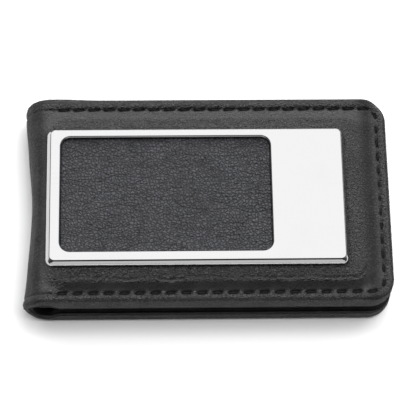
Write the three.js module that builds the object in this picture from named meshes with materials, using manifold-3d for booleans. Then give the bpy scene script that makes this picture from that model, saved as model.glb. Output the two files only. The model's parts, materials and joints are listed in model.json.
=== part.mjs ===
// A folding leather money clip. Two stitched leather jaws are joined by a leather fold, and magnets
// inside the jaws pull them together over folded banknotes. A cast metal plate with a leather inlay
// is studded to the upper jaw. Units are millimetres. +X runs from the fold to the tip, +Y to the
// back edge and +Z up. The origin is under the middle of the clip, on the surface it lies on.
import * as THREE from "three";
import { mergeVertices } from "three/addons/utils/BufferGeometryUtils.js";
import Module from "manifold-3d";

const wasm = await Module();
wasm.setup();

// ---- Driving dimensions ----
const LENGTH = 75; // fold to tip, over everything
const WIDTH = 45; // front edge to back edge of a jaw
const TIP_RADIUS = 5; // corners of a jaw at the tip, seen from above
const COVER = 1.1; // thickness of the outer leather
const CORE = 1.7; // thickness of the stiff board inside a jaw
const LINING = 0.9; // thickness of the inner leather
const GLUE = 0.05; // glue line between two layers
const THROAT = 2.4; // room between the two linings at their edges
const UPPER_RISE = 0.8; // how far the padded panel of the upper jaw stands above its border
const FOOT = 0.5; // how far the padded panel of the lower jaw stands below its border
const SEAM_INSET = 2; // stitch line to the edge of the jaw
const CORE_INSET = 0.35; // edge of the board to the edge of the jaw
const CORE_START = 0.5; // axis of the fold to the fold end of the board
const LINING_RAMP = 2.8; // axis of the fold to where the lining starts to lie flat

const BEND_AT = 45; // degrees of the fold between each jaw and its bend line
const BEND_TURN = 75; // degrees that the fold opens at each bend line
const BEND_DEPTH = 0.85; // bend line to the fold's outer face, inside the outer leather
const SPINE_TUCK = 0.5; // how far each end of the spine draws in from the edges of the jaws

const MAGNET_RADIUS = 7;
const MAGNET_THICKNESS = 2.6;
const MAGNET_X = 14;
const MAGNET_Y = 11;
const MAGNET_FIT = 0.05; // room round a magnet

const PLATE = { x: -2.1, y: 0.2, length: 60.8, width: 30, thickness: 1.5, corner: 1.3, bevel: 0.4 };
const WINDOW = { x: -8.4, y: 0.45, length: 43, width: 25.3, corner: 2, depth: 1.15 };
const INLAY = { gap: 0.25, thickness: 0.45 };
const STUD = { foldX: -26.5, tipX: 25, y: 11.5, radius: 0.9, fit: 0.1 };
const PUSH_NUT = { radius: 2.6, thickness: 0.4, recess: 0.55, fit: 0.15 };

const FOAM_FRONT_BACK = 16.6; // middle of the clip to the front and back edges of a pad
const FOAM_FOLD_END = -31;
const FOAM_TIP_END = 32.4;
const FOAM_CORNER = 2;
const PANEL_BEVEL = 0.5;

const THREAD_WIDTH = 0.7;
const GROOVE_WIDTH = 0.8;
const COVER_GROOVE = 0.4; // depth of the stitch groove in the outer leather
const LINING_GROOVE = 0.3;
const THREAD_PROUD = 0.1; // how far a thread stands out of its groove
const SEAM_CORNER = 2.5; // radius of the stitch line at the tip corners
const SEAM_FOLD_END = -31; // where the stitching stops short of the fold

// ---- Sizes that follow from them ----
const halfLength = LENGTH / 2;
const halfWidth = WIDTH / 2;
const jawThickness = COVER + CORE + LINING + 2 * GLUE;
const foldRadius = (2 * jawThickness + THROAT) / 2; // outside of the fold
const foldX = -halfLength + foldRadius; // axis of the fold, where the jaws begin
const foldZ = FOOT + foldRadius;
const bendRadius = foldRadius - BEND_DEPTH;
const foldCoverInner = foldRadius - COVER;
const foldLiningOuter = foldCoverInner - GLUE;
const foldLiningInner = foldLiningOuter - LINING;

// Distances from the middle plane of the clip, z = foldZ, outwards. Both jaws share them.
const liningFace = THROAT / 2;
const coreInner = liningFace + LINING + GLUE;
const coreOuter = coreInner + CORE;
const coverInner = coreOuter + GLUE;
const coverOuter = coverInner + COVER;

// ---- Solids ----
const solidOf = (geometry) => {
  const bare = geometry.index ? geometry.toNonIndexed() : geometry.clone();
  for (const name of ["normal", "uv"]) bare.deleteAttribute(name);
  const merged = mergeVertices(bare, 1e-4);
  return new wasm.Manifold(
    new wasm.Mesh({
      numProp: 3,
      vertProperties: merged.attributes.position.array,
      triVerts: new Uint32Array(merged.index.array),
    }),
  );
};

const geometryOf = (solid) => {
  const { vertProperties, triVerts } = solid.getMesh();
  const geometry = new THREE.BufferGeometry();
  geometry.setAttribute("position", new THREE.BufferAttribute(vertProperties, 3));
  geometry.setIndex(new THREE.BufferAttribute(triVerts, 1));
  geometry.computeVertexNormals();
  return geometry;
};

const join = (first, ...others) => others.reduce((made, next) => made.add(next), first);
const cut = (first, ...others) => others.reduce((made, next) => made.subtract(next), first);

// A rectangle with its own radius at the fold end and at the tip end.
const outline = (x0, x1, y0, y1, foldEnd, tipEnd = foldEnd) => {
  const shape = new THREE.Shape();
  shape.moveTo(x0 + foldEnd, y0);
  shape.lineTo(x1 - tipEnd, y0);
  shape.absarc(x1 - tipEnd, y0 + tipEnd, tipEnd, -Math.PI / 2, 0);
  shape.lineTo(x1, y1 - tipEnd);
  shape.absarc(x1 - tipEnd, y1 - tipEnd, tipEnd, 0, Math.PI / 2);
  shape.lineTo(x0 + foldEnd, y1);
  if (foldEnd > 0) {
    shape.absarc(x0 + foldEnd, y1 - foldEnd, foldEnd, Math.PI / 2, Math.PI);
    shape.lineTo(x0, y0 + foldEnd);
    shape.absarc(x0 + foldEnd, y0 + foldEnd, foldEnd, Math.PI, 1.5 * Math.PI);
  }
  return shape;
};

const centred = ({ x, y, length, width, corner }, grow = 0) =>
  outline(
    x - length / 2 - grow,
    x + length / 2 + grow,
    y - width / 2 - grow,
    y + width / 2 + grow,
    corner + grow,
  );

// A flat shape raised from z0 to z1, with a bevel of that size on its rims where one is given.
const prism = (shape, z0, z1, { bevel = 0, curveSegments = 5 } = {}) => {
  const geometry = new THREE.ExtrudeGeometry(shape, {
    depth: z1 - z0 - 2 * bevel,
    curveSegments,
    bevelEnabled: bevel > 0,
    bevelThickness: bevel,
    bevelSize: bevel,
    bevelOffset: -bevel,
    bevelSegments: 2,
  });
  return solidOf(geometry.translate(0, 0, z0 + bevel));
};

const disc = (x, y, z0, z1, radius, segments = 28) => {
  const geometry = new THREE.CylinderGeometry(radius, radius, z1 - z0, segments);
  return solidOf(geometry.rotateX(Math.PI / 2).translate(x, y, (z0 + z1) / 2));
};

// A side view, as [x, z] points, carried across the clip from -reach to +reach along Y.
const acrossClip = (points, reach) => {
  const shape = new THREE.Shape(points.map(([x, z]) => new THREE.Vector2(x, z)));
  const geometry = new THREE.ExtrudeGeometry(shape, { depth: 2 * reach, bevelEnabled: false });
  return solidOf(geometry.rotateX(Math.PI / 2).translate(0, reach, 0));
};

// ---- The fold ----
// A point of the fold: 0 degrees is where the lower jaw begins, 90 the outermost line, 180 the upper jaw.
const onFold = (degrees, radius) => {
  const angle = THREE.MathUtils.degToRad(degrees);
  return [foldX - radius * Math.sin(angle), foldZ - radius * Math.cos(angle)];
};

// The outer leather is notched along a bend line, from the line outwards, so that the two sides clear
// each other when the fold opens. This is half the notch, in degrees of the fold.
const notch = (radius) => {
  const slope = Math.tan(THREE.MathUtils.degToRad(BEND_TURN / 2));
  const side = GLUE / 2 + Math.max(0, radius - bendRadius) * slope;
  return THREE.MathUtils.radToDeg(side / radius);
};

const ARC_STEP = 7.5; // degrees
const arcPoints = (from, to, radius) => {
  const steps = Math.max(1, Math.round(Math.abs(to - from) / ARC_STEP));
  return Array.from({ length: steps + 1 }, (_, i) =>
    onFold(from + ((to - from) * i) / steps, radius),
  );
};

// The cut face at a bend line, from the outer radius to the inner one. side is +1 just past the line
// and -1 just before it.
const cutFace = (bend, side, outer, inner) => {
  const radii = outer > bendRadius ? [outer, bendRadius, inner] : [outer, inner];
  return radii.map((radius) => onFold(bend + side * notch(radius), radius));
};

// The layer of the spine between two radii: the stretch of the fold between its two bend lines.
const spineLayer = (outer, inner) =>
  acrossClip(
    [
      ...cutFace(BEND_AT, 1, outer, inner).reverse(),
      ...arcPoints(BEND_AT + notch(outer), 180 - BEND_AT - notch(outer), outer).slice(1, -1),
      ...cutFace(180 - BEND_AT, -1, outer, inner),
      ...arcPoints(180 - BEND_AT - notch(inner), BEND_AT + notch(inner), inner).slice(1, -1),
    ],
    halfWidth - SPINE_TUCK,
  );

// The end of a jaw's layer, which runs on round the fold as far as the bend line.
const lip = (outer, inner) => [
  ...arcPoints(0, BEND_AT - notch(outer), outer).slice(0, -1),
  ...cutFace(BEND_AT, -1, outer, inner),
  ...arcPoints(BEND_AT - notch(inner), 0, inner).slice(1),
];

// ---- The jaws ----
// Both jaws are drawn as the lower one, and the upper one is its mirror image in the plane z = foldZ.
const lowerZ = (out) => foldZ - out;

const jawPlan = (inset = 0) =>
  prism(
    outline(
      foldX - foldRadius,
      halfLength - inset,
      -halfWidth + inset,
      halfWidth - inset,
      0,
      TIP_RADIUS - inset,
    ),
    -1,
    foldZ,
    { curveSegments: 7 },
  );

const rampStart = foldX + LINING_RAMP;

const coverSlab = () =>
  acrossClip(
    [
      [halfLength, lowerZ(coverInner)],
      [halfLength, lowerZ(coverOuter)],
      ...lip(foldRadius, foldCoverInner),
    ],
    halfWidth,
  ).intersect(jawPlan());

const coreSlab = () =>
  acrossClip(
    [
      [foldX + CORE_START, lowerZ(coreOuter)],
      [halfLength, lowerZ(coreOuter)],
      [halfLength, lowerZ(coreInner)],
      [rampStart + 0.2, lowerZ(coreInner)],
    ],
    halfWidth,
  ).intersect(jawPlan(CORE_INSET));

const liningSlab = () =>
  acrossClip(
    [
      [halfLength, lowerZ(liningFace)],
      [halfLength, lowerZ(liningFace + LINING)],
      [rampStart - 0.3, lowerZ(liningFace + LINING)],
      ...lip(foldLiningOuter, foldLiningInner),
      [rampStart, lowerZ(liningFace)],
    ],
    halfWidth,
  ).intersect(jawPlan());

const foamOutline = (grow = 0) =>
  outline(
    FOAM_FOLD_END - grow,
    FOAM_TIP_END + grow,
    -FOAM_FRONT_BACK - grow,
    FOAM_FRONT_BACK + grow,
    FOAM_CORNER + grow,
  );

// The stitch line round the three free edges, as a band of the given width.
const seamBand = (width, z0, z1) => {
  const band = (grow) =>
    outline(
      SEAM_FOLD_END,
      halfLength - SEAM_INSET + grow,
      -halfWidth + SEAM_INSET - grow,
      halfWidth - SEAM_INSET + grow,
      0,
      SEAM_CORNER + grow,
    );
  const inside = outline(
    SEAM_FOLD_END - 1,
    halfLength - SEAM_INSET - width / 2,
    -halfWidth + SEAM_INSET + width / 2,
    halfWidth - SEAM_INSET - width / 2,
    0,
    SEAM_CORNER - width / 2,
  );
  return cut(prism(band(width / 2), z0, z1), prism(inside, z0 - 1, z1 + 1));
};

const jawPieces = (rise) => {
  const foamIn = lowerZ(coverInner);
  const foamOut = foamIn - (rise - GLUE);
  const panelFace = lowerZ(coverOuter) - rise;
  const magnetIn = lowerZ(coreOuter) + MAGNET_THICKNESS;
  const magnetSpots = [-MAGNET_Y, MAGNET_Y];
  const borderFace = lowerZ(coverOuter);

  const panel = prism(foamOutline(COVER), panelFace, foamIn, { bevel: PANEL_BEVEL });
  const foamRoom = prism(foamOutline(GLUE), foamOut - GLUE, foamIn + 1);
  const cover = cut(
    join(coverSlab(), panel),
    foamRoom,
    seamBand(GROOVE_WIDTH, borderFace - 1, borderFace + COVER_GROOVE),
  );

  const core = cut(
    coreSlab(),
    ...magnetSpots.map((y) =>
      disc(MAGNET_X, y, foamIn - 1, foldZ, MAGNET_RADIUS + MAGNET_FIT),
    ),
  );

  const bosses = magnetSpots.map((y) =>
    disc(MAGNET_X, y, lowerZ(coreInner), magnetIn + GLUE + LINING, MAGNET_RADIUS + LINING),
  );
  const pockets = magnetSpots.map((y) =>
    disc(MAGNET_X, y, 0, magnetIn + GLUE, MAGNET_RADIUS + MAGNET_FIT),
  );
  const throatFace = lowerZ(liningFace);
  const boardRoom = prism(
    outline(rampStart + 1, halfLength + 1, -halfWidth - 1, halfWidth + 1, 0, 1),
    0,
    throatFace - LINING,
  );
  const lining = cut(
    join(liningSlab(), ...bosses.map((boss) => cut(boss, boardRoom))),
    ...pockets,
    seamBand(GROOVE_WIDTH, throatFace - LINING_GROOVE, throatFace + 0.5),
  );

  return {
    cover,
    foam_pad: prism(foamOutline(), foamOut, foamIn),
    core_board: core,
    magnet_front: disc(MAGNET_X, -MAGNET_Y, lowerZ(coreOuter), magnetIn, MAGNET_RADIUS),
    magnet_back: disc(MAGNET_X, MAGNET_Y, lowerZ(coreOuter), magnetIn, MAGNET_RADIUS),
    lining,
    outer_thread: seamBand(
      THREAD_WIDTH,
      borderFace - THREAD_PROUD,
      borderFace + COVER_GROOVE - GLUE,
    ),
    inner_thread: seamBand(
      THREAD_WIDTH,
      throatFace - LINING_GROOVE + GLUE,
      throatFace + THREAD_PROUD,
    ),
  };
};

const mirrored = (solid) => {
  const geometry = geometryOf(solid);
  const position = geometry.attributes.position;
  for (let i = 0; i < position.count; i += 1) position.setZ(i, 2 * foldZ - position.getZ(i));
  const corners = geometry.index.array;
  for (let i = 0; i < corners.length; i += 3) {
    [corners[i + 1], corners[i + 2]] = [corners[i + 2], corners[i + 1]];
  }
  return solidOf(geometry);
};

// ---- The plate on the upper jaw ----
const upperZ = (out) => foldZ + out;
const plateBottom = upperZ(coverOuter) + UPPER_RISE + GLUE;
const plateTop = plateBottom + PLATE.thickness;
const recessFloor = plateTop - WINDOW.depth;
const nutSeat = upperZ(coreInner) + PUSH_NUT.recess;

const studSpots = [
  [STUD.foldX, -STUD.y],
  [STUD.tipX, -STUD.y],
  [STUD.foldX, STUD.y],
  [STUD.tipX, STUD.y],
];

const studHoles = (z0, z1, radius = STUD.radius + STUD.fit) =>
  studSpots.map(([x, y]) => disc(x, y, z0, z1, radius, 14));

const plateFrame = () => {
  // The slab stands 1 bevel too deep, so that only its upper rims keep the bevel once it is trimmed.
  const slab = prism(centred(PLATE), plateBottom - 2 * PLATE.bevel, plateTop, {
    bevel: PLATE.bevel,
  });
  const below = prism(centred(PLATE, 1), plateBottom - 3, plateBottom);
  const recess = prism(centred(WINDOW), recessFloor, plateTop + 1);
  const studs = studSpots.map(([x, y]) =>
    disc(x, y, nutSeat - PUSH_NUT.thickness, plateBottom + 0.2, STUD.radius, 14),
  );
  return join(cut(slab, below, recess), ...studs);
};

const inlay = () =>
  prism(
    centred(WINDOW, -INLAY.gap),
    recessFloor + GLUE,
    recessFloor + GLUE + INLAY.thickness,
  );

const pushNut = ([x, y]) => {
  const top = nutSeat - GLUE;
  return cut(
    disc(x, y, top - PUSH_NUT.thickness, top, PUSH_NUT.radius, 20),
    disc(x, y, top - 1, top + 1, STUD.radius + 0.05, 14),
  );
};

// ---- Finishes ----
const finish = (color, roughness, metalness = 0) =>
  new THREE.MeshStandardMaterial({ color, roughness, metalness });
const finishes = {
  cover: finish("#2b2b2d", 0.45),
  lining: finish("#262628", 0.6),
  foam_pad: finish("#3a3a3c", 0.9),
  core_board: finish("#4a3f35", 0.9),
  magnet: finish("#b9bbbe", 0.25, 1),
  thread: finish("#141416", 0.7),
  plate: finish("#e8e9ea", 0.08, 1),
  inlay: finish("#505257", 0.55),
  push_nut: finish("#a8a9ab", 0.35, 1),
};

const named = (name, solid, material) => {
  const mesh = new THREE.Mesh(geometryOf(solid), material);
  mesh.name = name;
  return mesh;
};

const finishOf = (piece) => {
  if (piece.startsWith("magnet")) return finishes.magnet;
  if (piece.endsWith("thread")) return finishes.thread;
  return finishes[piece];
};

// ---- The assembly ----
const clip = new THREE.Group();

const lowerJaw = new THREE.Group();
for (const [piece, solid] of Object.entries(jawPieces(FOOT))) {
  lowerJaw.add(named(`lower_${piece}`, solid, finishOf(piece)));
}

const upperJaw = new THREE.Group();
const throughUpper = {
  cover: [upperZ(coverInner) - 1, plateTop],
  foam_pad: [upperZ(coverInner) - 1, plateTop],
  core_board: [upperZ(coreInner) - 1, plateTop],
};
for (const [piece, drawnAsLower] of Object.entries(jawPieces(UPPER_RISE))) {
  let solid = mirrored(drawnAsLower);
  if (throughUpper[piece]) solid = cut(solid, ...studHoles(...throughUpper[piece]));
  if (piece === "core_board") {
    const seat = PUSH_NUT.radius + PUSH_NUT.fit;
    solid = cut(solid, ...studHoles(upperZ(coreInner) - 1, nutSeat, seat));
  }
  upperJaw.add(named(`upper_${piece}`, solid, finishOf(piece)));
}
upperJaw.add(named("plate_frame", plateFrame(), finishes.plate));
upperJaw.add(named("plate_inlay", inlay(), finishes.inlay));
studSpots.forEach((spot, i) => {
  upperJaw.add(named(`push_nut_${i + 1}`, pushNut(spot), finishes.push_nut));
});

const spine = new THREE.Group();
spine.add(
  named("spine_cover", spineLayer(foldRadius, foldCoverInner), finishes.cover),
  named("spine_lining", spineLayer(foldLiningOuter, foldLiningInner), finishes.lining),
);

clip.add(lowerJaw, spine, upperJaw);
export default clip;
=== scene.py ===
"""A folding leather money clip: two stitched leather jaws joined by a leather fold, magnets inside
them, and a polished metal plate with a sunken leather inlay on top.

Lengths inside the functions are millimetres, and a mesh is turned into metres when it is made.
"Out" is a distance from the middle plane of the clip: both jaws are drawn with it, and the lower
one is laid out downwards and the upper one upwards.
"""
import json
import math

import bpy
import numpy as np
from bpy.props import FloatProperty, FloatVectorProperty, IntProperty, PointerProperty
from mathutils import Matrix, Vector


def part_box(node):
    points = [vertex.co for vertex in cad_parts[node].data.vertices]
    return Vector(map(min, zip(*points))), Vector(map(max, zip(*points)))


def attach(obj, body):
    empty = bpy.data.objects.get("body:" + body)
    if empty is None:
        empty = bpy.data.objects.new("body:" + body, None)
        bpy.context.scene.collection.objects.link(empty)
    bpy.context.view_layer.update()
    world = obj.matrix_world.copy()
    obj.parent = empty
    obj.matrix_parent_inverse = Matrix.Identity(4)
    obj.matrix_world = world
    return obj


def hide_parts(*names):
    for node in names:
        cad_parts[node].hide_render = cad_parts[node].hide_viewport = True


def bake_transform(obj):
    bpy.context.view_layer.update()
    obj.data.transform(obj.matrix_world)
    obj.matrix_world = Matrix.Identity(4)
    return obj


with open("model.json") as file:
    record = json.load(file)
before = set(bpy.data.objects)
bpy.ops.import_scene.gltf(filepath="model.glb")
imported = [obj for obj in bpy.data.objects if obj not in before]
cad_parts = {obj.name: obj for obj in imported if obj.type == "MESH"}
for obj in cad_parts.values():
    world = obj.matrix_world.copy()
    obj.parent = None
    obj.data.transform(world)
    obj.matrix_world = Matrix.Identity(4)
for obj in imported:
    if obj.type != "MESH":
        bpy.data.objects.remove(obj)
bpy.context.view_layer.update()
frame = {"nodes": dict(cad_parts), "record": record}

bl_info = {
    "name": "Leather Money Clip",
    "version": (1, 0, 0),
    "blender": (4, 5, 0),
    "location": "3D View > Sidebar > Money Clip",
    "description": "Builds a stitched leather money clip with a metal plate round its fixed frame",
    "category": "Add Mesh",
}

MM = 0.001


# ---- Places taken from the frame ----
def node_box(node):
    """The lowest and highest corners of a CAD node at rest, in millimetres."""
    low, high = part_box(node)
    return np.array(low) / MM, np.array(high) / MM


JOINTS = {joint["name"]: joint for joint in frame["record"]["behaviour"]["joints"]}
LOWER_BEND = np.array(JOINTS["lower_bend"]["pos_m"]) / MM
UPPER_BEND = np.array(JOINTS["upper_bend"]["pos_m"]) / MM
MIDDLE_Z = (LOWER_BEND[2] + UPPER_BEND[2]) / 2
FOLD_X = LOWER_BEND[0] + MIDDLE_Z - LOWER_BEND[2]  # the bends lie at 45 degrees round the fold
FOLD_RADIUS = FOLD_X - node_box("spine_cover")[0][0]
TIP_X = node_box("upper_cover")[1][0]
HALF_WIDTH = node_box("upper_cover")[1][1]
UPPER_RISE = node_box("upper_cover")[1][2] - MIDDLE_Z - FOLD_RADIUS
LOWER_RISE = MIDDLE_Z - FOLD_RADIUS - node_box("lower_cover")[0][2]
BOARD_IN = MIDDLE_Z - node_box("lower_core_board")[1][2]
PLATE_LOW, PLATE_HIGH = node_box("plate_frame")
INLAY_LOW, INLAY_HIGH = node_box("plate_inlay")
PAD_LOW, PAD_HIGH = node_box("upper_foam_pad")
MAGNETS = [sum(node_box(f"upper_magnet_{end}")) / 2 for end in ("front", "back")]
MAGNET_RADIUS = (node_box("upper_magnet_front")[1][0] - node_box("upper_magnet_front")[0][0]) / 2
THREAD_LOW, THREAD_HIGH = node_box("upper_outer_thread")

# ---- The object's own fixed sizes ----
TIP_CORNER = 5.0  # radius of the jaws' corners
SEAM_CORNER = 2.5  # radius of the stitch line's corners
THREAD_BAND = 0.7
SEAM_START = THREAD_LOW[0]
SEAM_TIP = THREAD_HIGH[0] - THREAD_BAND / 2
SEAM_SIDE = THREAD_HIGH[1] - THREAD_BAND / 2
PLATE_CORNER = 1.3
PLATE_BOTTOM = MIDDLE_Z + FOLD_RADIUS + UPPER_RISE + 0.05
WINDOW_CORNER = 2.0
WINDOW_GAP = 0.25
STUD_RADIUS = 0.9
STUD_CHAMFER = 0.15
STUDS = [(-26.5, -11.5), (25.0, -11.5), (-26.5, 11.5), (25.0, 11.5)]
COVER_ROLL = 0.5  # radius of the turned edge of the outer leather
SKIVED = 0.3  # thickness of the outer leather where it is turned over an edge
LINING_ROLL = 0.28
LINING_RAMP = 2.8  # length of the slope by which the lining leaves the board
GLUE = 0.05
LOWER_SINK = 0.1  # keeps the waves of the lower jaw's leather off the table
BACK_OVERHANG = 0.4  # how much wider the upper jaw's border is at the back
NO_EDGE = -1e3  # the low end of a plan whose sheet runs on round the fold
CREASE_SIDE = (SEAM_SIDE - 6, SEAM_SIDE - 4.8)  # where across the jaw the panel's crease sets in
CREASE_START = (-31.5, -27.0)  # where along the jaw it sets in
STITCH_LEAN = 0.09  # how far a stitch leans across its seam, for each millimetre along it
OUTER_THREAD_SUNK, INNER_THREAD_SUNK = 0.3, 0.24  # depth of a thread's middle under the leather
GRAIN_HEIGHT = {"lower cover": 0, "upper cover": 100, "lower lining": 40, "upper lining": 60,
                "inlay": 140}  # sets the sheets apart in the grain pattern
EDGE_ZONE = 6.4  # width of the finely meshed rim of a jaw
SEAM_ZONE = (1.3, 2.7)  # the stretch of that rim that is meshed finest, in from the edge


# ---- Smooth helpers ----
def smooth(value, start, end):
    """0 before start, 1 after end, and the cubic 3t^2 - 2t^3 between them."""
    t = np.clip((value - start) / (end - start), 0, 1)
    return t * t * (3 - 2 * t)


def bump_at(value, centre, width):
    """A bell: e to the minus square of the distance from centre over width."""
    return np.exp(-(((value - centre) / width) ** 2))


def ripples(x, y, length, seed, stretch=1.0, waves=14):
    """Uneven ripples between about -1 and 1: the mean of sine waves of mixed directions and lengths
    near the given one. stretch over 1 draws them out along y."""
    rng = np.random.default_rng(seed)
    heading = rng.uniform(0, 2 * np.pi, waves)
    per = 2 * np.pi / (length * rng.uniform(0.7, 1.5, waves))
    phase = rng.uniform(0, 2 * np.pi, waves)
    total = np.zeros(np.broadcast(x, y).shape)
    for k in range(waves):
        total = total + np.sin(
            per[k] * (x * np.cos(heading[k]) + y * np.sin(heading[k]) / stretch) + phase[k]
        )
    return total / math.sqrt(waves)


def box_distance(x, y, low, high, radius):
    """Signed distance from a rectangle with rounded corners: negative inside, positive outside."""
    dx = np.abs(x - (low[0] + high[0]) / 2) - (high[0] - low[0]) / 2 + radius
    dy = np.abs(y - (low[1] + high[1]) / 2) - (high[1] - low[1]) / 2 + radius
    outside = np.hypot(np.maximum(dx, 0), np.maximum(dy, 0))
    return outside + np.minimum(np.maximum(dx, dy), 0) - radius


# ---- Meshes ----
def grid_faces(rows, columns):
    """The quads of a grid of rows by columns points, counterclockwise with rows to the right."""
    index = np.arange(rows * columns).reshape(rows, columns)
    corners = [index[:-1, :-1], index[1:, :-1], index[1:, 1:], index[:-1, 1:]]
    return np.stack(corners, -1).reshape(-1, 4)


def shell(outer, inner):
    """One closed skin from two grids of the same shape: the outer grid's quads, the inner grid's
    turned round, and a strip of quads that joins their four borders. Also the number of quads that
    come before the strip."""
    rows, columns = outer.shape[:2]
    index = np.arange(rows * columns).reshape(rows, columns)
    face = grid_faces(rows, columns)
    loop = np.concatenate([index[:-1, 0], index[-1, :-1], index[:0:-1, -1], index[0, :0:-1]])
    after = np.roll(loop, -1)
    count = rows * columns
    rim = np.stack([after, loop, loop + count, after + count], -1)
    points = np.concatenate([outer.reshape(-1, 3), inner.reshape(-1, 3)])
    faces = np.concatenate([face, face[:, ::-1] + count, rim])
    return points, faces, 2 * len(face)


def loft(loops):
    """One closed skin through a stack of closed loops with the same number of points: quads from
    each loop to the next, and each end closed by quads that pair the points across the loop."""
    levels, size = loops.shape[:2]
    index = np.arange(levels * size).reshape(levels, size)
    ahead = np.roll(index, -1, axis=1)
    walls = np.stack([index[:-1], ahead[:-1], ahead[1:], index[1:]], -1).reshape(-1, 4)
    near = np.arange(size // 2 - 1)
    cap = np.stack([near, near + 1, size - 2 - near, size - 1 - near], -1)
    faces = np.concatenate([walls, cap[:, ::-1], cap + (levels - 1) * size])
    return loops.reshape(-1, 3), faces


def facing_out(points, faces):
    """The faces, turned round if the volume that they enclose comes out negative."""
    a, b, c, d = (points[faces[:, k]] for k in range(4))
    volume = np.einsum("ij,ij->", a, np.cross(b, c)) + np.einsum("ij,ij->", a, np.cross(c, d))
    return faces if volume > 0 else faces[:, ::-1]


def make_piece(name, points, faces, material, flat_from=None, **attributes):
    """A mesh object in metres from points in millimetres and quads. Faces from number flat_from on
    are flat, all others smooth. Each attribute is one number or one vector for each point."""
    faces = facing_out(points, faces)
    mesh = bpy.data.meshes.new(name)
    mesh.vertices.add(len(points))
    mesh.vertices.foreach_set("co", (points * MM).astype(np.float32).ravel())
    mesh.loops.add(faces.size)
    mesh.loops.foreach_set("vertex_index", faces.astype(np.int32).ravel())
    mesh.polygons.add(len(faces))
    mesh.polygons.foreach_set("loop_start", np.arange(0, faces.size, 4, dtype=np.int32))
    smooth_faces = np.ones(len(faces), bool)
    if flat_from is not None:
        smooth_faces[flat_from:] = False
    mesh.update(calc_edges=True)
    mesh.polygons.foreach_set("use_smooth", smooth_faces)
    for label, values in attributes.items():
        values = np.asarray(values, np.float32)
        kind, field = ("FLOAT_VECTOR", "vector") if values.ndim == 2 else ("FLOAT", "value")
        mesh.attributes.new(label, kind, "POINT").data.foreach_set(field, values.ravel())
    mesh.materials.append(material)
    piece = bpy.data.objects.new(name, mesh)
    bpy.context.scene.collection.objects.link(piece)
    return piece


# ---- Plans of rounded sheets ----
def rolled_edge(s, radius, depth):
    """The section of a turned edge. s runs inwards over the face: beyond the radius the face is
    flat, then it turns down through a quarter circle, and the last 1 mm of s stands for the whole
    wall below, down to depth. Gives the distance in from the edge and the drop below the face."""
    turn = np.clip((radius - s) / radius, 0, np.pi / 2)
    wall = np.clip(-(np.pi / 2 - 1) * radius - s, 0, 1)
    inset = np.where(s > radius, s, radius * (1 - np.sin(turn)))
    drop = radius * (1 - np.cos(turn)) + wall * (depth - radius)
    return inset, drop


def plan(u, v, low, high, tip_corner, roll, fold_corner=None):
    """Lay stations u along and v across over a rectangle with rounded corners. A station's distance
    s from the nearest edge stays the same all the way round a corner: there the two legs of the
    square line at s become two eighths of a circle. Gives x, y and s."""
    u, v = np.meshgrid(u, v, indexing="ij")
    middle, half = (low[1] + high[1]) / 2, (high[1] - low[1]) / 2
    side = half - np.abs(v - middle)
    tip = high[0] - u
    fold = np.full_like(u, np.inf) if fold_corner is None else u - low[0]
    end = np.minimum(tip, fold)
    corner = np.where(tip <= fold, tip_corner, fold_corner or tip_corner)
    s = np.minimum(side, end)
    turning = (side < corner) & (end < corner)
    leg = np.maximum(corner - s, 1e-6)
    angle = np.where(side <= end, (corner - end) / leg, 2 - (corner - side) / leg) * np.pi / 4
    reach = corner - rolled_edge(s, roll, 1)[0]
    from_end = np.where(turning, corner - reach * np.sin(angle), rolled_edge(end, roll, 1)[0])
    from_side = np.where(turning, corner - reach * np.cos(angle), rolled_edge(side, roll, 1)[0])
    x = np.where(tip <= fold, high[0] - from_end, low[0] + from_end)
    y = middle + np.sign(v - middle) * (half - from_side)
    return x, y, s


def rim_stations(roll, fine, wall_steps, zone=EDGE_ZONE):
    """Distances from an edge, from the foot of its wall inwards to the end of the rim zone."""
    foot = -(np.pi / 2 - 1) * roll
    wall = foot - np.linspace(1, 0, wall_steps, endpoint=False)
    turn = np.linspace(foot, roll, 6)[:-1]
    face = np.linspace(roll, zone, max(2, round((zone - roll) / fine)) + 1)
    if zone > SEAM_ZONE[1]:
        beyond = np.linspace(SEAM_ZONE[1], zone, round((zone - SEAM_ZONE[1]) / fine / 1.3) + 1)
        seam = np.linspace(*SEAM_ZONE, round((SEAM_ZONE[1] - SEAM_ZONE[0]) / fine * 1.7) + 1)
        face = np.concatenate([np.linspace(roll, SEAM_ZONE[0], 9)[:-1], seam[:-1], beyond])
    return np.concatenate([wall, turn, face])


def jaw_stations(roll, fine, wall_steps, along, across):
    """Stations of half the fold and one jaw along the clip, and of the jaw across it."""
    rim = rim_stations(roll, fine, wall_steps)
    quarter = np.pi / 2 * FOLD_RADIUS
    bend = np.concatenate([[0, 0.05], np.linspace(0.3, quarter, 26)]) - quarter + FOLD_X
    length = TIP_X - EDGE_ZONE - FOLD_X
    body = np.linspace(FOLD_X, TIP_X - EDGE_ZONE, round(length / along) + 1)[1:-1]
    u = np.concatenate([bend, body, TIP_X - rim[::-1]])
    inner = HALF_WIDTH - EDGE_ZONE
    middle = np.linspace(-inner, inner, round(2 * inner / across) + 1)[1:-1]
    v = np.concatenate([rim - HALF_WIDTH, middle, HALF_WIDTH - rim[::-1]])
    return u, v


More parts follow.
